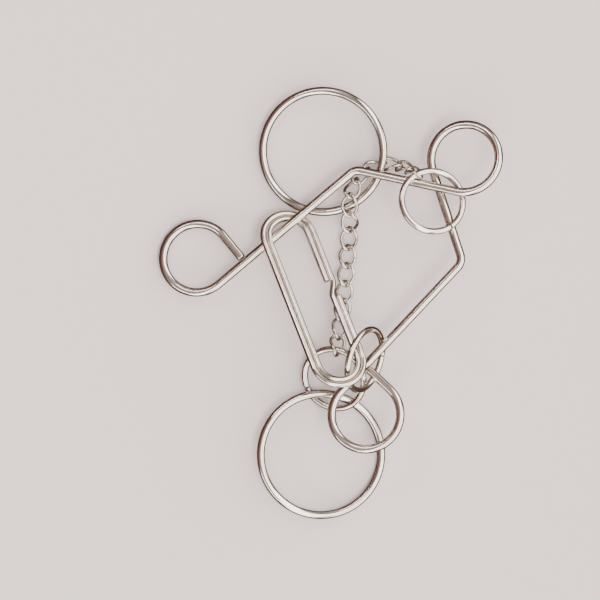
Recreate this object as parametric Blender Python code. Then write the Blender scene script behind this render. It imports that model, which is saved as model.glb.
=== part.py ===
"""Metal ring disentanglement puzzle, lying on a table as its tangle comes to rest.

Every piece is bent from round wire: a frame with three eyes, a long loop wound twice, two large
welded rings, three small butt-jointed rings and a curb chain. Lengths in this file are in
millimetres, angles in degrees, and the finished objects are in metres, +Z up, with the origin on
the table under the middle of the puzzle. A heading is an angle from +X towards +Y.
"""

import math

import bpy
from mathutils import Matrix, Vector

METRES = 0.001

# Wire diameters.
FRAME_WIRE = 3.0
LOOP_WIRE = 2.0
LARGE_RING_WIRE = 2.8
SMALL_RING_WIRE = 2.2
CHAIN_WIRE = 1.1

# The point of the layout below that becomes the origin: the middle of the puzzle's underside.
MIDDLE = (0.1, 0.6, 0.1)

# The frame's plan, drawn flat: the centres of its three eyes and the corners of its two bends.
LEFT_EYE = (-46.6, 16.6)
UPPER_BEND = (9.2, 47.2)
RIGHT_EYE = (47.6, 50.9)
LOWER_BEND = (46.8, 14.8)
BOTTOM_EYE = (13.1, -38.5)
EYE_RADIUS = 12.1
BEND_RADIUS = 4.5
COIL_STEP = 4.1
EYE_TURN = 270.0
LEG_GAP = 0.3
FRAME_TILT = 11.2
FRAME_UPHILL = -34.5
FRAME_HEIGHT = 4.3

# The long loop, wound twice with its turns side by side in one plane.
LOOP_LENGTH = 70.0
LOOP_WIDTH = 20.4
LOOP_LANE = 2.1
LOOP_JOGGLE = 6.0
LOOP_END_GAP = 3.0
LOOP_SEAM = -2.0
LOOP_CENTRE = (-5.9, 2.4, 17.6)
LOOP_HEADING = -68.5
LOOP_RISE = 20.6
LOOP_ROLL = -20.0

# Rings: outside diameter, then centre, tilt and the heading in which each one rises.
LARGE_RING = 45.4
SMALL_RING = 24.0
SMALL_RING_GAP = 0.4
UPPER_RING_PLACE = ((-2.4, 54.0, 5.5), 9.2, 35.0)
LOWER_RING_PLACE = ((-3.1, -52.3, 4.1), 6.8, 182.0)
SLIDE_RING_PLACE = ((35.6, 36.4, 16.6), 17.6, -130.0)
END_RING_PLACE = ((1.5, -25.7, 6.3), 26.4, 41.0)
LINKING_RING_PLACE = ((12.1, -18.9, 18.0), 59.5, 163.5)

# The chain: one twisted curb link, the places where each link hooks the next, and the turn of
# each link about its own length.
LINK_LENGTH = 9.1
LINK_WIDTH = 6.5
LINK_TWIST = -45.0
LINK_PITCH = 6.35
CHAIN_JOINTS = (
    (30.7, 45.4, 16.4),
    (27.9, 47.4, 11.1),
    (24.2, 49.1, 6.3),
    (18.9, 49.8, 3.1),
    (12.9, 47.7, 2.9),
    (8.9, 43.8, 5.7),
    (7.1, 38.4, 8.4),
    (6.8, 32.1, 7.5),
    (7.1, 26.6, 4.4),
    (6.4, 20.3, 3.3),
    (6.0, 14.0, 3.9),
    (5.4, 7.7, 4.5),
    (4.7, 1.5, 5.2),
    (3.9, -4.9, 6.0),
    (2.9, -11.1, 7.3),
    (1.9, -16.6, 10.4),
)
LINK_ROLLS = (60.0, 51.0, 49.0, 50.0, 45.0, 29.0, 20.0, 11.0, 4.0, 0.0, 0.0, 0.0, -15.0, -28.0, -33.0)


def heading(angle):
    return Vector((math.cos(math.radians(angle)), math.sin(math.radians(angle)), 0.0))


def tilt(angle, uphill):
    """A turn that makes a level plane rise by angle towards the heading uphill."""
    hinge = heading(uphill).cross(Vector((0.0, 0.0, 1.0)))
    return Matrix.Rotation(math.radians(angle), 4, hinge)


def arc(centre, radius, start, end, steps):
    """Points on a level circle from one angle to another, both ends included."""
    points = []
    for step in range(steps + 1):
        angle = start + (end - start) * step / steps
        points.append(Vector((*centre, 0.0)) + heading(angle) * radius)
    return points


def touching_angle(outside, centre, radius, side):
    """The angle on a circle at which a line from a point outside it touches it."""
    away = Vector(outside) - Vector(centre)
    towards = math.degrees(math.atan2(away.y, away.x))
    return towards + side * math.degrees(math.acos(radius / away.length))


def fillet(before, corner, after, radius, steps):
    """Points on the arc that rounds off a corner."""
    arrive = (corner - before).normalized()
    leave = (after - corner).normalized()
    half_turn = arrive.angle(leave) / 2
    inward = (leave - arrive).normalized()
    centre = corner + inward * radius / math.cos(half_turn)
    points = []
    for step in range(steps + 1):
        turned = half_turn * (2.0 * step / steps - 1.0)
        along = (arrive + leave).normalized() * math.sin(turned)
        points.append(centre + radius * (along - inward * math.cos(turned)))
    return points


def smooth_step(share):
    share = min(max(share, 0.0), 1.0)
    return share * share * (3.0 - 2.0 * share)


def frame_path(detail=1):
    """The frame's wire from the left eye's leg to the bottom eye's, flat but for the coil step."""
    start = touching_angle(UPPER_BEND, LEFT_EYE, EYE_RADIUS, -1)
    left_eye = arc(LEFT_EYE, EYE_RADIUS, start - EYE_TURN, start, 20 * detail)
    end = touching_angle(LOWER_BEND, BOTTOM_EYE, EYE_RADIUS, 1)
    bottom_eye = arc(BOTTOM_EYE, EYE_RADIUS, end, end + EYE_TURN, 20 * detail)
    enter = touching_angle(UPPER_BEND, RIGHT_EYE, EYE_RADIUS, 1)
    leave = touching_angle(LOWER_BEND, RIGHT_EYE, EYE_RADIUS, -1) + 360.0
    right_eye = arc(RIGHT_EYE, EYE_RADIUS, enter, leave, 22 * detail)
    for step, point in enumerate(right_eye):
        point.z = -COIL_STEP * smooth_step(step / (len(right_eye) - 1))

    leg = EYE_RADIUS - FRAME_WIRE / 2 - LEG_GAP
    left_leg = left_eye[0] + heading(start - EYE_TURN - 90.0) * leg
    upper_bend = Vector((*UPPER_BEND, 0.0))
    upper_arc = fillet(left_eye[-1], upper_bend, right_eye[0], BEND_RADIUS, 6 * detail)

    drop = Vector((0.0, 0.0, -COIL_STEP))
    lower_bend = Vector((*LOWER_BEND, 0.0)) + drop
    bottom_eye = [point + drop for point in bottom_eye]
    lower_arc = fillet(right_eye[-1], lower_bend, bottom_eye[0], BEND_RADIUS, 6 * detail)
    bottom_leg = bottom_eye[-1] + heading(end + EYE_TURN + 90.0) * leg

    path = [left_leg, *left_eye, *upper_arc, *right_eye, *lower_arc, *bottom_eye, bottom_leg]
    return [point - Vector((*LEFT_EYE, 0.0)) for point in path]


def frame_place():
    return Matrix.Translation((*LEFT_EYE, FRAME_HEIGHT)) @ tilt(FRAME_TILT, FRAME_UPHILL)


def loop_path(detail=1):
    """The long loop's wire: an outer turn, a joggle across to the inner lane, and an inner turn."""
    outer = (LOOP_WIDTH - LOOP_WIRE) / 2
    inner = outer - LOOP_LANE
    reach = LOOP_LENGTH / 2 - LOOP_WIDTH / 2
    steps = 10 * detail
    points = [Vector((LOOP_SEAM + LOOP_END_GAP, outer, 0.0))]
    points += arc((reach, 0.0), outer, 90.0, -90.0, steps)
    points += arc((-reach, 0.0), outer, -90.0, -270.0, steps)
    for step in range(6 * detail + 1):
        share = step / (6 * detail)
        across = outer - LOOP_LANE * smooth_step(share)
        points.append(Vector((LOOP_SEAM + LOOP_JOGGLE * (share - 0.5), across, 0.0)))
    points += arc((reach, 0.0), inner, 90.0, -90.0, steps)
    points += arc((-reach, 0.0), inner, -90.0, -270.0, steps)
    points.append(Vector((LOOP_SEAM - LOOP_END_GAP, inner, 0.0)))
    return points


def loop_place():
    """The loop's own +X runs down its length, and +Y is its right-hand leg."""
    turned = Matrix.Rotation(math.radians(LOOP_HEADING), 4, "Z")
    rise = Matrix.Rotation(math.radians(-LOOP_RISE), 4, "Y")
    roll = Matrix.Rotation(math.radians(LOOP_ROLL), 4, "X")
    return Matrix.Translation(LOOP_CENTRE) @ turned @ rise @ roll


def ring_path(outside, wire, gap, steps):
    """A ring's wire. A ring with a gap is open there, and its last point stays apart."""
    radius = (outside - wire) / 2
    open_angle = math.degrees(gap / radius)
    points = arc((0.0, 0.0), radius, open_angle / 2, 360.0 - open_angle / 2, steps)
    return points if gap else points[:-1]


def ring_place(place, seam=0.0):
    centre, angle, uphill = place
    return Matrix.Translation(centre) @ tilt(angle, uphill) @ Matrix.Rotation(math.radians(seam), 4, "Z")


def link_path(steps):
    """An oval twisted about its length, with its near end at the joint to the link before."""
    half_length = (LINK_LENGTH - CHAIN_WIRE) / 2
    half_width = (LINK_WIDTH - CHAIN_WIRE) / 2
    points = []
    for step in range(steps):
        turn = 2.0 * math.pi * step / steps
        twist = math.radians(LINK_TWIST) * math.cos(turn)
        across = half_width * math.sin(turn)
        along = LINK_PITCH / 2 + half_length * math.cos(turn)
        points.append(Vector((along, across * math.cos(twist), across * math.sin(twist))))
    return points


def link_places():
    """A placement for each link: +X along the chain, +Z as near upright as its roll leaves it."""
    joints = [Vector(joint) for joint in CHAIN_JOINTS]
    places = []
    for near, far, roll in zip(joints, joints[1:], LINK_ROLLS):
        along = (far - near).normalized()
        across = Vector((0.0, 0.0, 1.0)).cross(along).normalized()
        upright = along.cross(across)
        facing = Matrix((along, across, upright)).transposed().to_4x4()
        rolled = Matrix.Rotation(math.radians(roll), 4, "X")
        start = (near + far) / 2 - along * LINK_PITCH / 2
        places.append(Matrix.Translation(start) @ facing @ rolled)
    return places


def metal(name, colour, roughness):
    material = bpy.data.materials.new(name)
    material.use_nodes = True
    shader = material.node_tree.nodes["Principled BSDF"]
    shader.inputs["Base Color"].default_value = (*colour, 1.0)
    shader.inputs["Roughness"].default_value = roughness
    shader.inputs["Metallic"].default_value = 1.0
    return material


def bent_wire(name, path, wire, closed, sides, material, place):
    """One piece of round wire along a path, as a tube with filled ends."""
    curve = bpy.data.curves.new(name, "CURVE")
    curve.dimensions = "3D"
    curve.bevel_depth = wire / 2 * METRES
    curve.bevel_resolution = sides // 2 - 2
    curve.use_fill_caps = not closed
    spline = curve.splines.new("POLY")
    spline.points.add(len(path) - 1)
    for point, target in zip(path, spline.points):
        target.co = (*(point * METRES), 1.0)
    spline.use_cyclic_u = closed
    spline.use_smooth = True
    curve.materials.append(material)
    piece = bpy.data.objects.new(name, curve)
    bpy.context.scene.collection.objects.link(piece)
    position = (place.translation - Vector(MIDDLE)) * METRES
    piece.matrix_world = Matrix.Translation(position) @ place.to_3x3().to_4x4()
    return piece


def build():
    for existing in list(bpy.data.objects):
        bpy.data.objects.remove(existing, do_unlink=True)

    frame_metal = metal("frame_wire", (0.72, 0.69, 0.66), 0.14)
    loop_metal = metal("loop_wire", (0.70, 0.67, 0.63), 0.16)
    ring_metal = metal("ring_wire", (0.73, 0.70, 0.67), 0.12)
    chain_metal = metal("chain_wire", (0.66, 0.63, 0.60), 0.20)

    bent_wire("wire_frame", frame_path(), FRAME_WIRE, False, 10, frame_metal, frame_place())
    bent_wire("long_loop", loop_path(), LOOP_WIRE, False, 8, loop_metal, loop_place())

    large = ring_path(LARGE_RING, LARGE_RING_WIRE, 0.0, 40)
    for name, place in (("upper_ring", UPPER_RING_PLACE), ("lower_ring", LOWER_RING_PLACE)):
        bent_wire(name, large, LARGE_RING_WIRE, True, 8, ring_metal, ring_place(place))

    small = ring_path(SMALL_RING, SMALL_RING_WIRE, SMALL_RING_GAP, 30)
    small_rings = (
        ("slide_ring", SLIDE_RING_PLACE, -55.0),
        ("end_ring", END_RING_PLACE, 200.0),
        ("linking_ring", LINKING_RING_PLACE, 0.0),
    )
    for name, place, seam in small_rings:
        bent_wire(name, small, SMALL_RING_WIRE, False, 8, ring_metal, ring_place(place, seam))

    link = link_path(18)
    for number, place in enumerate(link_places(), start=1):
        bent_wire(f"chain_link_{number:02d}", link, CHAIN_WIRE, True, 6, chain_metal, place)


build()
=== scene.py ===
"""Looks of the metal ring disentanglement puzzle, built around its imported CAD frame.

Each CAD piece is replaced by a finished one: round nickel-plated wire along the same centre line,
with rounded cut ends. The wires are laid out in millimetres and degrees, and their meshes are
made in metres. A heading is an angle from +X towards +Y.
"""
import math

import bmesh
import bpy
from mathutils import Matrix, Vector


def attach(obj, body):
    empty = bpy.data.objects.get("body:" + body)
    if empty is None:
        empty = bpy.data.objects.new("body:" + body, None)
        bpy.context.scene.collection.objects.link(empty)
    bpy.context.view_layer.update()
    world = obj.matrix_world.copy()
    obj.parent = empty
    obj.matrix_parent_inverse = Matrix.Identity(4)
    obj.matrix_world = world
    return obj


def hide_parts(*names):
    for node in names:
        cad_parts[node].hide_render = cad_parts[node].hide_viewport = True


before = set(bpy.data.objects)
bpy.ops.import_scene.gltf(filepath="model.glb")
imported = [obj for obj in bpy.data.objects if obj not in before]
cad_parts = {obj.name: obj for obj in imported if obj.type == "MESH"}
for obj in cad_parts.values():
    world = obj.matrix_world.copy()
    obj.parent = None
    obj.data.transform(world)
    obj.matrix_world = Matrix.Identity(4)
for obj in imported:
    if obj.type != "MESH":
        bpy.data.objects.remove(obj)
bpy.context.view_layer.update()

METRES = 0.001

# Wire diameters.
FRAME_WIRE = 3.0
LOOP_WIRE = 2.0
LARGE_RING_WIRE = 2.8
SMALL_RING_WIRE = 2.2
CHAIN_WIRE = 1.1

# The point of the layout below that becomes the origin: the middle of the puzzle's underside.
MIDDLE = (0.1, 0.6, 0.1)

# The frame's plan, drawn flat: the centres of its three eyes and the corners of its two bends.
LEFT_EYE = (-46.6, 16.6)
UPPER_BEND = (9.2, 47.2)
RIGHT_EYE = (47.6, 50.9)
LOWER_BEND = (46.8, 14.8)
BOTTOM_EYE = (13.1, -38.5)
EYE_RADIUS = 12.1
BEND_RADIUS = 4.5
COIL_STEP = 4.1
EYE_TURN = 270.0
LEG_GAP = 0.3
FRAME_TILT = 11.2
FRAME_UPHILL = -34.5
FRAME_HEIGHT = 4.3

# The long loop, wound twice with its turns side by side in one plane.
LOOP_LENGTH = 70.0
LOOP_WIDTH = 20.4
LOOP_LANE = 2.1
LOOP_JOGGLE = 6.0
LOOP_END_GAP = 3.0
LOOP_SEAM = -2.0
LOOP_CENTRE = (-5.9, 2.4, 17.6)
LOOP_HEADING = -68.5
LOOP_RISE = 20.6
LOOP_ROLL = -20.0

# Rings: outside diameter, then centre, tilt and the heading in which each one rises.
LARGE_RING = 45.4
SMALL_RING = 24.0
SMALL_RING_GAP = 0.4
UPPER_RING_PLACE = ((-2.4, 54.0, 5.5), 9.2, 35.0)
LOWER_RING_PLACE = ((-3.1, -52.3, 4.1), 6.8, 182.0)
SLIDE_RING_PLACE = ((35.6, 36.4, 16.6), 17.6, -130.0)
END_RING_PLACE = ((1.5, -25.7, 6.3), 26.4, 41.0)
LINKING_RING_PLACE = ((12.1, -18.9, 18.0), 59.5, 163.5)

# The chain: one twisted curb link, the places where each link hooks the next, and the turn of
# each link about its own length.
LINK_LENGTH = 9.1
LINK_WIDTH = 6.5
LINK_TWIST = -45.0
LINK_PITCH = 6.35
CHAIN_JOINTS = (
    (30.7, 45.4, 16.4),
    (27.9, 47.4, 11.1),
    (24.2, 49.1, 6.3),
    (18.9, 49.8, 3.1),
    (12.9, 47.7, 2.9),
    (8.9, 43.8, 5.7),
    (7.1, 38.4, 8.4),
    (6.8, 32.1, 7.5),
    (7.1, 26.6, 4.4),
    (6.4, 20.3, 3.3),
    (6.0, 14.0, 3.9),
    (5.4, 7.7, 4.5),
    (4.7, 1.5, 5.2),
    (3.9, -4.9, 6.0),
    (2.9, -11.1, 7.3),
    (1.9, -16.6, 10.4),
)
LINK_ROLLS = (60.0, 51.0, 49.0, 50.0, 45.0, 29.0, 20.0, 11.0, 4.0, 0.0, 0.0, 0.0, -15.0, -28.0, -33.0)

# Fineness of the finished surfaces: curves as multiples of the CAD's own steps or as steps round
# a ring or link, the sides of each wire, and the longest step on a straight run.
FRAME_DETAIL = 4
LOOP_DETAIL = 5
LARGE_RING_STEPS = 180
SMALL_RING_STEPS = 120
LINK_STEPS = 72
THICK_SIDES = 28
THIN_SIDES = 24
CHAIN_SIDES = 16
FRAME_SPACING = 1.2
LOOP_SPACING = 1.0
RING_SPACING = 2.0
LINK_SPACING = 1.0

# A cut end, from the full wire to its tip: how far before the tip and how thick, both as shares
# of the radius, and how bare the metal is.
CUT_END = ((0.32, 1.0, 0.0), (0.16, 0.985, 0.15), (0.06, 0.93, 0.6), (0.0, 0.80, 1.0))

# Below this, a wire's start is too near upright to be compared with +Z.
UPRIGHT_START = 0.1

# The joint in a chain link: its depth as a share of the radius, how bare it is, and the share of
# both that the hoop before it, its own hoop and the hoop after it take.
GROOVE_DEPTH = 0.10
GROOVE_BARE = 0.7
GROOVE_SHARES = ((-1, 0.25), (0, 1.0), (1, 0.25))


# ---------------------------------------------------------------- the wires' centre lines
def heading(angle):
    return Vector((math.cos(math.radians(angle)), math.sin(math.radians(angle)), 0.0))


def tilt(angle, uphill):
    """A turn that makes a level plane rise by angle towards the heading uphill."""
    hinge = heading(uphill).cross(Vector((0.0, 0.0, 1.0)))
    return Matrix.Rotation(math.radians(angle), 4, hinge)


def arc(centre, radius, start, end, steps):
    """Points on a level circle from one angle to another, both ends included."""
    points = []
    for step in range(steps + 1):
        angle = start + (end - start) * step / steps
        points.append(Vector((*centre, 0.0)) + heading(angle) * radius)
    return points


def touching_angle(outside, centre, radius, side):
    """The angle on a circle at which a line from a point outside it touches it."""
    away = Vector(outside) - Vector(centre)
    towards = math.degrees(math.atan2(away.y, away.x))
    return towards + side * math.degrees(math.acos(radius / away.length))


def fillet(before, corner, after, radius, steps):
    """Points on the arc that rounds off a corner."""
    arrive = (corner - before).normalized()
    leave = (after - corner).normalized()
    half_turn = arrive.angle(leave) / 2
    inward = (leave - arrive).normalized()
    centre = corner + inward * radius / math.cos(half_turn)
    points = []
    for step in range(steps + 1):
        turned = half_turn * (2.0 * step / steps - 1.0)
        along = (arrive + leave).normalized() * math.sin(turned)
        points.append(centre + radius * (along - inward * math.cos(turned)))
    return points


def smooth_step(share):
    share = min(max(share, 0.0), 1.0)
    return share * share * (3.0 - 2.0 * share)


def frame_path(detail=1):
    """The frame's wire from the left eye's leg to the bottom eye's, flat but for the coil step."""
    start = touching_angle(UPPER_BEND, LEFT_EYE, EYE_RADIUS, -1)
    left_eye = arc(LEFT_EYE, EYE_RADIUS, start - EYE_TURN, start, 20 * detail)
    end = touching_angle(LOWER_BEND, BOTTOM_EYE, EYE_RADIUS, 1)
    bottom_eye = arc(BOTTOM_EYE, EYE_RADIUS, end, end + EYE_TURN, 20 * detail)
    enter = touching_angle(UPPER_BEND, RIGHT_EYE, EYE_RADIUS, 1)
    leave = touching_angle(LOWER_BEND, RIGHT_EYE, EYE_RADIUS, -1) + 360.0
    right_eye = arc(RIGHT_EYE, EYE_RADIUS, enter, leave, 22 * detail)
    for step, point in enumerate(right_eye):
        point.z = -COIL_STEP * smooth_step(step / (len(right_eye) - 1))

    leg = EYE_RADIUS - FRAME_WIRE / 2 - LEG_GAP
    left_leg = left_eye[0] + heading(start - EYE_TURN - 90.0) * leg
    upper_bend = Vector((*UPPER_BEND, 0.0))
    upper_arc = fillet(left_eye[-1], upper_bend, right_eye[0], BEND_RADIUS, 6 * detail)

    drop = Vector((0.0, 0.0, -COIL_STEP))
    lower_bend = Vector((*LOWER_BEND, 0.0)) + drop
    bottom_eye = [point + drop for point in bottom_eye]
    lower_arc = fillet(right_eye[-1], lower_bend, bottom_eye[0], BEND_RADIUS, 6 * detail)
    bottom_leg = bottom_eye[-1] + heading(end + EYE_TURN + 90.0) * leg

    path = [left_leg, *left_eye, *upper_arc, *right_eye, *lower_arc, *bottom_eye, bottom_leg]
    return [point - Vector((*LEFT_EYE, 0.0)) for point in path]


def frame_place():
    return Matrix.Translation((*LEFT_EYE, FRAME_HEIGHT)) @ tilt(FRAME_TILT, FRAME_UPHILL)


def loop_path(detail=1):
    """The long loop's wire: an outer turn, a joggle across to the inner lane, and an inner turn."""
    outer = (LOOP_WIDTH - LOOP_WIRE) / 2
    inner = outer - LOOP_LANE
    reach = LOOP_LENGTH / 2 - LOOP_WIDTH / 2
    steps = 10 * detail
    points = [Vector((LOOP_SEAM + LOOP_END_GAP, outer, 0.0))]
    points += arc((reach, 0.0), outer, 90.0, -90.0, steps)
    points += arc((-reach, 0.0), outer, -90.0, -270.0, steps)
    for step in range(6 * detail + 1):
        share = step / (6 * detail)
        across = outer - LOOP_LANE * smooth_step(share)
        points.append(Vector((LOOP_SEAM + LOOP_JOGGLE * (share - 0.5), across, 0.0)))
    points += arc((reach, 0.0), inner, 90.0, -90.0, steps)
    points += arc((-reach, 0.0), inner, -90.0, -270.0, steps)
    points.append(Vector((LOOP_SEAM - LOOP_END_GAP, inner, 0.0)))
    return points


def loop_place():
    """The loop's own +X runs down its length, and +Y is its right-hand leg."""
    turned = Matrix.Rotation(math.radians(LOOP_HEADING), 4, "Z")
    rise = Matrix.Rotation(math.radians(-LOOP_RISE), 4, "Y")
    roll = Matrix.Rotation(math.radians(LOOP_ROLL), 4, "X")
    return Matrix.Translation(LOOP_CENTRE) @ turned @ rise @ roll


def ring_path(outside, wire, gap, steps):
    """A ring's wire. A ring with a gap is open there, and its last point stays apart."""
    radius = (outside - wire) / 2
    open_angle = math.degrees(gap / radius)
    points = arc((0.0, 0.0), radius, open_angle / 2, 360.0 - open_angle / 2, steps)
    return points if gap else points[:-1]


def ring_place(place, seam=0.0):
    centre, angle, uphill = place
    return Matrix.Translation(centre) @ tilt(angle, uphill) @ Matrix.Rotation(math.radians(seam), 4, "Z")


def link_path(steps):
    """An oval twisted about its length, with its near end at the joint to the link before."""
    half_length = (LINK_LENGTH - CHAIN_WIRE) / 2
    half_width = (LINK_WIDTH - CHAIN_WIRE) / 2
    points = []
    for step in range(steps):
        turn = 2.0 * math.pi * step / steps
        twist = math.radians(LINK_TWIST) * math.cos(turn)
        across = half_width * math.sin(turn)
        along = LINK_PITCH / 2 + half_length * math.cos(turn)
        points.append(Vector((along, across * math.cos(twist), across * math.sin(twist))))
    return points


def link_places():
    """A placement for each link: +X along the chain, +Z as near upright as its roll leaves it."""
    joints = [Vector(joint) for joint in CHAIN_JOINTS]
    places = []
    for near, far, roll in zip(joints, joints[1:], LINK_ROLLS):
        along = (far - near).normalized()
        across = Vector((0.0, 0.0, 1.0)).cross(along).normalized()
        upright = along.cross(across)
        facing = Matrix((along, across, upright)).transposed().to_4x4()
        rolled = Matrix.Rotation(math.radians(roll), 4, "X")
        start = (near + far) / 2 - along * LINK_PITCH / 2
        places.append(Matrix.Translation(start) @ facing @ rolled)
    return places


# ---------------------------------------------------------------- round wire
def even_path(path, closed, spacing):
    """The same line with long straight runs cut into steps of about the given spacing."""
    finer = []
    ends = path[1:] + (path[:1] if closed else [])
    for here, there in zip(path, ends):
        pieces = max(1, round((there - here).length / spacing))
        for piece in range(pieces):
            finer.append(here.lerp(there, piece / pieces))
    if not closed:
        finer.append(path[-1])
    return finer


def carried_frames(path, closed):
    """A side and an up direction for each point, carried along the wire without twisting."""
    count = len(path)
    tangents = []
    for index in range(count):
        before = path[index - 1] if closed or index else path[index]
        after = path[(index + 1) % count] if closed or index < count - 1 else path[index]
        tangents.append((after - before).normalized())
    side = tangents[0].cross(Vector((0.0, 0.0, 1.0)))
    if side.length < UPRIGHT_START:
        side = tangents[0].cross(Vector((0.0, 1.0, 0.0)))
    side.normalize()
    sides = [side]
    for before, after in zip(tangents, tangents[1:]):
        side = before.rotation_difference(after) @ side
        side = (side - after * side.dot(after)).normalized()
        sides.append(side)
    if closed:
        last = tangents[-1].rotation_difference(tangents[0]) @ sides[-1]
        drift = sides[0].angle(last)
        if last.cross(sides[0]).dot(tangents[0]) < 0.0:
            drift = -drift
        for index in range(count):
            turn = Matrix.Rotation(drift * index / count, 3, tangents[index])
            sides[index] = turn @ sides[index]
    return [(side, side.cross(tangent)) for side, tangent in zip(sides, tangents)]


def rounded_ends(path, wire):
    """An open wire's points with its cut ends rounded, each with its radius and bareness."""
    def tip(points):
        inward = (points[1] - points[0]).normalized()
        return [(points[0] + inward * back * wire / 2, share * wire / 2, bare)
                for back, share, bare in CUT_END]
    middle = [(point, wire / 2, 0.0) for point in path[1:-1]]
    return tip(path)[::-1] + middle + tip(path[::-1])


def distances_along(points, closed):
    """How far along the wire each point lies, and for a closed wire its whole length last."""
    distances = [0.0]
    ends = points[1:] + (points[:1] if closed else [])
    for here, there in zip(points, ends):
        distances.append(distances[-1] + (there - here).length)
    return distances


def tube(name, path, wire, closed, sides, place, spacing, groove=None):
    """A mesh of round wire along a path, with UVs along and around it and a cut attribute."""
    path = even_path(path, closed, spacing)
    stations = [(point, wire / 2, 0.0) for point in path] if closed else rounded_ends(path, wire)
    if groove is not None:
        for offset, share in GROOVE_SHARES:
            index = (groove + offset) % len(stations)
            point, radius, _ = stations[index]
            stations[index] = (point, radius * (1.0 - GROOVE_DEPTH * share), GROOVE_BARE * share)
    points = [point for point, _, _ in stations]
    distances = distances_along(points, closed)

    form = bmesh.new()
    uv_layer = form.loops.layers.uv.new("UVMap")
    cut_layer = form.verts.layers.float.new("cut")
    hoops = []
    for (point, radius, bare), (side, up) in zip(stations, carried_frames(points, closed)):
        hoop = []
        for corner in range(sides):
            angle = 2.0 * math.pi * corner / sides
            outward = side * math.cos(angle) + up * math.sin(angle)
            vertex = form.verts.new((point + radius * outward) * METRES)
            vertex[cut_layer] = bare
            hoop.append(vertex)
        hoops.append(hoop)

    for span in range(len(distances) - 1):
        near, far = hoops[span], hoops[(span + 1) % len(hoops)]
        start, end = distances[span], distances[span + 1]
        for corner in range(sides):
            beside = (corner + 1) % sides
            face = form.faces.new((near[corner], near[beside], far[beside], far[corner]))
            face.smooth = True
            spots = ((start, corner), (start, corner + 1), (end, corner + 1), (end, corner))
            for loop, (distance, step) in zip(face.loops, spots):
                loop[uv_layer].uv = (distance * METRES, step / sides)
    if not closed:
        for hoop in (hoops[0][::-1], hoops[-1]):
            face = form.faces.new(hoop)
            face.smooth = False
            for loop in face.loops:
                loop[uv_layer].uv = (0.0, 0.0)
    bmesh.ops.recalc_face_normals(form, faces=form.faces)

    position = (place.translation - Vector(MIDDLE)) * METRES
    form.transform(Matrix.Translation(position) @ place.to_3x3().to_4x4())
    mesh = bpy.data.meshes.new(name)
    form.to_mesh(mesh)
    form.free()
    piece = bpy.data.objects.new(name, mesh)
    bpy.context.scene.collection.objects.link(piece)
    return piece


# ---------------------------------------------------------------- nickel plate
# The metals: bright and dull colour, least roughness, and how strongly the drawing lines show.
METALS = {
    "frame_wire": ((0.80, 0.755, 0.70), (0.72, 0.66, 0.60), 0.10, 0.6),
    "loop_wire": ((0.78, 0.735, 0.68), (0.68, 0.62, 0.56), 0.12, 1.3),
    "ring_wire": ((0.81, 0.77, 0.72), (0.73, 0.68, 0.62), 0.09, 0.5),
    "chain_wire": ((0.74, 0.70, 0.65), (0.62, 0.56, 0.51), 0.15, 0.5),
}
# A warm brown tint of the metal's reflection at grazing angles: a painted reflection that stands in for
# dark brown surroundings mirrored at the wires' edges.
PAINTED_EDGE_REFLECTION = (0.62, 0.46, 0.42)
BARE_COLOUR = (0.30, 0.25, 0.21)

# Marks: noise scale, detail and roughness. The lines run along the wire, stretched in its UVs.
HAZE = (90.0, 3.0, 0.5)
SCUFFS = (420.0, 4.0, 0.7)
RIPPLE = (700.0, 3.0, 0.5)
SPECKS = (2600.0, 2.0, 0.5)
LINES = (1.0, 3.0, 0.6)
LINE_STRETCH = (70.0, 26.0, 1.0)

# The band of noise over which each mark goes from none to full.
HAZE_BAND = (0.38, 0.68)
SCUFF_BAND = (0.56, 0.72)
SPECK_BAND = (0.66, 0.74)
LINE_BAND = (0.35, 0.7)

# How far one metal's marks are shifted from the next one's, in space and in the UVs.
SPACE_SHIFT = (1.37, 0.71, 0.33)
LINE_SHIFT = (0.9, 0.4, 0.0)

# What the marks do to the colour, to the roughness and to the relief.
SPECK_DARKENING = 0.35
CUT_DARKENING = 0.75
HAZE_ROUGHNESS = 0.07
SCUFF_ROUGHNESS = 0.10
LINE_ROUGHNESS = 0.06
CUT_ROUGHNESS = 0.35
LINE_RELIEF = 0.7
SPECK_RELIEF = -0.6
RIPPLE_RELIEF = 0.5
RELIEF_STRENGTH = 0.25
RELIEF_DEPTH = 0.00004


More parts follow.
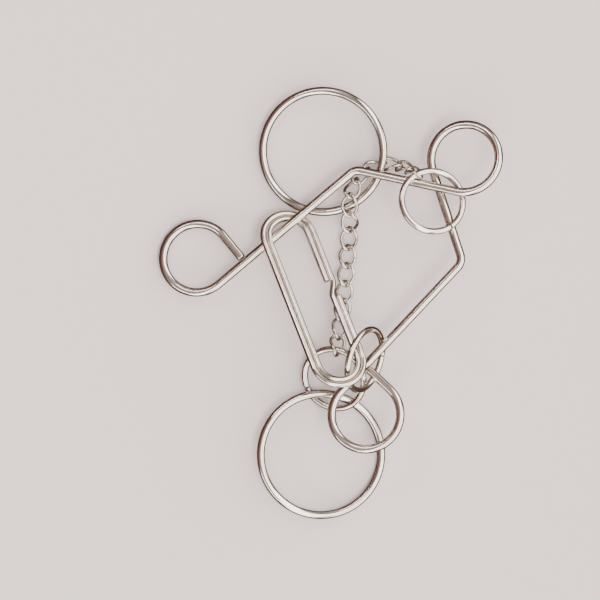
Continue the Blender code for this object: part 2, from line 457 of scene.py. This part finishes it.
def nickel(name, colour, dull, roughness, streaks, seed):
    """Polished nickel on drawn wire: soft haze, lengthwise drawing lines, scuffs and specks."""
    material = bpy.data.materials.new(name)
    material.use_nodes = True
    tree = material.node_tree
    shader = tree.nodes["Principled BSDF"]
    shader.inputs["Metallic"].default_value = 1.0
    # The brown tint at grazing angles is a painted reflection of dark brown surroundings, not a colour
    # of the nickel.
    shader.inputs["Specular Tint"].default_value = (*PAINTED_EDGE_REFLECTION, 1.0)

    def add(kind, **settings):
        node = tree.nodes.new(kind)
        for key, value in settings.items():
            setattr(node, key, value)
        return node

    def link(source, target):
        tree.links.new(source, target)

    def shifted(coordinates, steps, stretch=(1.0, 1.0, 1.0)):
        node = add("ShaderNodeMapping")
        node.inputs["Location"].default_value = [seed * step for step in steps]
        node.inputs["Scale"].default_value = stretch
        link(coordinates, node.inputs["Vector"])
        return node.outputs["Vector"]

    def noise(vector, scale, detail, rough):
        node = add("ShaderNodeTexNoise")
        node.inputs["Scale"].default_value = scale
        node.inputs["Detail"].default_value = detail
        node.inputs["Roughness"].default_value = rough
        link(vector, node.inputs["Vector"])
        return node.outputs["Fac"]

    def remap(value, low, high, to_low=0.0, to_high=1.0):
        node = add("ShaderNodeMapRange")
        ends = {"From Min": low, "From Max": high, "To Min": to_low, "To Max": to_high}
        for key, number in ends.items():
            node.inputs[key].default_value = number
        link(value, node.inputs["Value"])
        return node.outputs["Result"]

    def maths(operation, first, second):
        node = add("ShaderNodeMath", operation=operation)
        for socket, value in zip(node.inputs, (first, second)):
            if isinstance(value, (int, float)):
                socket.default_value = value
            else:
                link(value, socket)
        return node.outputs["Value"]

    def total(*shares):
        """The sum of several values, each times its own strength."""
        sums = [maths("MULTIPLY", value, strength) for value, strength in shares]
        result = sums[0]
        for addend in sums[1:]:
            result = maths("ADD", result, addend)
        return result

    where = add("ShaderNodeTexCoord")
    spot = shifted(where.outputs["Object"], SPACE_SHIFT)
    lines = noise(shifted(where.outputs["UV"], LINE_SHIFT, LINE_STRETCH), *LINES)
    haze = remap(noise(spot, *HAZE), *HAZE_BAND)
    specks = remap(noise(spot, *SPECKS), *SPECK_BAND)
    scuffs = remap(noise(spot, *SCUFFS), *SCUFF_BAND)
    cut = add("ShaderNodeAttribute", attribute_name="cut").outputs["Fac"]

    tone = add("ShaderNodeMix", data_type="RGBA")
    tone.inputs["A"].default_value = (*colour, 1.0)
    tone.inputs["B"].default_value = (*dull, 1.0)
    link(haze, tone.inputs["Factor"])
    pitted = add("ShaderNodeMix", data_type="RGBA")
    pitted.inputs["B"].default_value = (*BARE_COLOUR, 1.0)
    link(tone.outputs["Result"], pitted.inputs["A"])
    speck_share = maths("MULTIPLY", specks, SPECK_DARKENING)
    cut_share = maths("MULTIPLY", cut, CUT_DARKENING)
    link(maths("MAXIMUM", speck_share, cut_share), pitted.inputs["Factor"])
    link(pitted.outputs["Result"], shader.inputs["Base Color"])

    base = remap(haze, 0.0, 1.0, roughness, roughness + HAZE_ROUGHNESS)
    streaked = remap(lines, *LINE_BAND)
    marks = total((scuffs, SCUFF_ROUGHNESS), (streaked, LINE_ROUGHNESS * streaks), (cut, CUT_ROUGHNESS))
    link(maths("ADD", base, marks), shader.inputs["Roughness"])

    ripple = noise(spot, *RIPPLE)
    relief = total((lines, LINE_RELIEF * streaks), (specks, SPECK_RELIEF), (ripple, RIPPLE_RELIEF))
    bump = add("ShaderNodeBump")
    bump.inputs["Strength"].default_value = RELIEF_STRENGTH
    bump.inputs["Distance"].default_value = RELIEF_DEPTH
    link(relief, bump.inputs["Height"])
    link(bump.outputs["Normal"], shader.inputs["Normal"])
    return material


metals = {
    slot: nickel(slot + "_look", *metal, seed)
    for seed, (slot, metal) in enumerate(METALS.items(), start=1)
}


# ---------------------------------------------------------------- the pieces
def finish_piece(piece, node, slot):
    piece.data.materials.append(metals[slot])
    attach(piece, node)
    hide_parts(node)


frame_form = tube(
    "frame_wire_form", frame_path(FRAME_DETAIL), FRAME_WIRE, False,
    THICK_SIDES, frame_place(), FRAME_SPACING)
finish_piece(frame_form, "wire_frame", "frame_wire")

loop_form = tube(
    "long_loop_form", loop_path(LOOP_DETAIL), LOOP_WIRE, False,
    THIN_SIDES, loop_place(), LOOP_SPACING)
finish_piece(loop_form, "long_loop", "loop_wire")

large_ring = ring_path(LARGE_RING, LARGE_RING_WIRE, 0.0, LARGE_RING_STEPS)
for node, place in (("upper_ring", UPPER_RING_PLACE), ("lower_ring", LOWER_RING_PLACE)):
    ring = tube(
        node + "_form", large_ring, LARGE_RING_WIRE, True,
        THICK_SIDES, ring_place(place), RING_SPACING)
    finish_piece(ring, node, "ring_wire")

# Each small ring is turned in its own plane to put its seam where it belongs.
small_ring = ring_path(SMALL_RING, SMALL_RING_WIRE, SMALL_RING_GAP, SMALL_RING_STEPS)
for node, place, seam in (
    ("slide_ring", SLIDE_RING_PLACE, -55.0),
    ("end_ring", END_RING_PLACE, 200.0),
    ("linking_ring", LINKING_RING_PLACE, 0.0),
):
    ring = tube(
        node + "_form", small_ring, SMALL_RING_WIRE, False,
        THIN_SIDES, ring_place(place, seam), RING_SPACING)
    finish_piece(ring, node, "ring_wire")

# A link's joint is a quarter of the way round, in the middle of one long side.
link_line = link_path(LINK_STEPS)
for number, place in enumerate(link_places(), start=1):
    node = f"chain_link_{number:02d}"
    link_form = tube(
        node + "_form", link_line, CHAIN_WIRE, True,
        CHAIN_SIDES, place, LINK_SPACING, groove=LINK_STEPS // 4)
    finish_piece(link_form, node, "chain_wire")


# ---------------------------------------------------------------- floor
# The two sheets, in metres: half the side of each, and how high it lies, just under the metal.
SHEET_HALF = 4.0
SHEET_ROUGHNESS = 0.8
FLOOR_HEIGHT = -0.0003
CARD_HEIGHT = -0.0004


def level_sheet(name, height, colour):
    """A plain level square, part of the stage."""
    material = bpy.data.materials.new(name + "_look")
    material.use_nodes = True
    shader = material.node_tree.nodes["Principled BSDF"]
    shader.inputs["Base Color"].default_value = (*colour, 1.0)
    shader.inputs["Roughness"].default_value = SHEET_ROUGHNESS
    mesh = bpy.data.meshes.new(name)
    turns = ((-1, -1), (1, -1), (1, 1), (-1, 1))
    corners = [(SHEET_HALF * x, SHEET_HALF * y, height) for x, y in turns]
    mesh.from_pydata(corners, [], [(0, 1, 2, 3)])
    mesh.materials.append(material)
    sheet = bpy.data.objects.new(name, mesh)
    bpy.context.scene.collection.objects.link(sheet)
    return sheet


# The metal mirrors a brown card in place of the pale floor, so that its edges stay dark.
floor = level_sheet("floor", FLOOR_HEIGHT, (0.64, 0.555, 0.55))
floor.visible_glossy = False
card = level_sheet("brown_card", CARD_HEIGHT, (0.25, 0.195, 0.175))
card.visible_camera = False
card.visible_diffuse = False
card.visible_shadow = False


# ---------------------------------------------------------------- light
# The way to the bright side of the room. Its length sets how much of the ramp the room spans.
BRIGHT_SIDE = (0.40, -0.21, 0.0)

# The room from its far side to its bright side, with 0.5 overhead, then from horizon to zenith.
ROOM_SIDES = (
    (0.00, (0.200, 0.070, 0.066)),
    (0.16, (0.230, 0.105, 0.095)),
    (0.28, (0.420, 0.310, 0.275)),
    (0.40, (0.660, 0.560, 0.490)),
    (0.46, (0.130, 0.100, 0.070)),
    (0.51, (0.110, 0.088, 0.060)),
    (0.55, (5.20, 5.05, 4.75)),
    (0.69, (6.00, 5.90, 5.60)),
    (0.73, (1.15, 1.02, 0.88)),
    (0.79, (1.40, 1.26, 1.10)),
    (0.83, (5.00, 4.90, 4.60)),
)
ROOM_HEIGHTS = (
    (0.00, (0.14, 0.108, 0.098)),
    (0.10, (0.30, 0.25, 0.225)),
    (0.24, (1.0, 1.0, 1.0)),
    (1.00, (1.0, 1.0, 1.0)),
)


def ramp_node(tree, value, stops):
    """The colour that a ramp of stops gives for a value."""
    node = tree.nodes.new("ShaderNodeValToRGB")
    while len(node.color_ramp.elements) < len(stops):
        node.color_ramp.elements.new(0.5)
    for element, (position, colour) in zip(node.color_ramp.elements, stops):
        element.position = position
        element.color = (*colour, 1.0)
    tree.links.new(value, node.inputs["Fac"])
    return node.outputs["Color"]


def room_light():
    """A room with a wide bright window to the lower right, and a brown far side and horizon."""
    world = bpy.data.worlds.new("room")
    world.use_nodes = True
    tree = world.node_tree
    where = tree.nodes.new("ShaderNodeTexCoord").outputs["Generated"]
    split = tree.nodes.new("ShaderNodeSeparateXYZ")
    tree.links.new(where, split.inputs["Vector"])
    facing = tree.nodes.new("ShaderNodeVectorMath")
    facing.operation = "DOT_PRODUCT"
    facing.inputs[1].default_value = BRIGHT_SIDE
    tree.links.new(where, facing.inputs[0])
    centred = tree.nodes.new("ShaderNodeMath")
    centred.operation = "ADD"
    centred.inputs[1].default_value = 0.5
    tree.links.new(facing.outputs["Value"], centred.inputs[0])

    both = tree.nodes.new("ShaderNodeMix")
    both.data_type = "RGBA"
    both.blend_type = "MULTIPLY"
    both.inputs["Factor"].default_value = 1.0
    tree.links.new(ramp_node(tree, centred.outputs["Value"], ROOM_SIDES), both.inputs["A"])
    tree.links.new(ramp_node(tree, split.outputs["Z"], ROOM_HEIGHTS), both.inputs["B"])
    sky = tree.nodes["Background"]
    sky.inputs["Strength"].default_value = 1.0
    tree.links.new(both.outputs["Result"], sky.inputs["Color"])
    bpy.context.scene.world = world


def softbox(name, location, width, height, watts, colour, mirrored):
    """A rectangular lamp, in metres, that faces the origin and may show in the metal."""
    light = bpy.data.lights.new(name, "AREA")
    light.shape = "RECTANGLE"
    light.size = width
    light.size_y = height
    light.energy = watts
    light.color = colour
    lamp = bpy.data.objects.new(name, light)
    lamp.location = location
    lamp.rotation_euler = (-Vector(location)).to_track_quat("-Z", "Y").to_euler()
    lamp.visible_glossy = mirrored
    bpy.context.scene.collection.objects.link(lamp)


room_light()
softbox("overhead", (0.5, -0.4, 2.2), 0.7, 0.7, 30.0, (1.0, 0.985, 0.97), False)
softbox("strip", (-0.25, 0.55, 0.75), 0.50, 0.10, 1.6, (1.0, 0.98, 0.95), True)
softbox("low_strip", (-0.50, -0.52, 0.40), 0.60, 0.12, 1.6, (1.0, 0.97, 0.93), True)


# ---------------------------------------------------------------- camera
# It looks straight down through a long lens. The view is VIEW_WIDTH wide at AIM_HEIGHT.
VIEW_WIDTH = 210.0 * METRES
VIEW_CENTRE = (-10.6 * METRES, 1.3 * METRES)
AIM_HEIGHT = 9.0 * METRES
SENSOR = 36.0
LENS = 300.0
FAR_CLIP = 50.0

lens = bpy.data.cameras.new("camera")
lens.sensor_width = SENSOR
lens.lens = LENS
lens.clip_end = FAR_CLIP
camera = bpy.data.objects.new("camera", lens)
camera.location = (*VIEW_CENTRE, VIEW_WIDTH * LENS / SENSOR + AIM_HEIGHT)
bpy.context.scene.collection.objects.link(camera)
bpy.context.scene.camera = camera
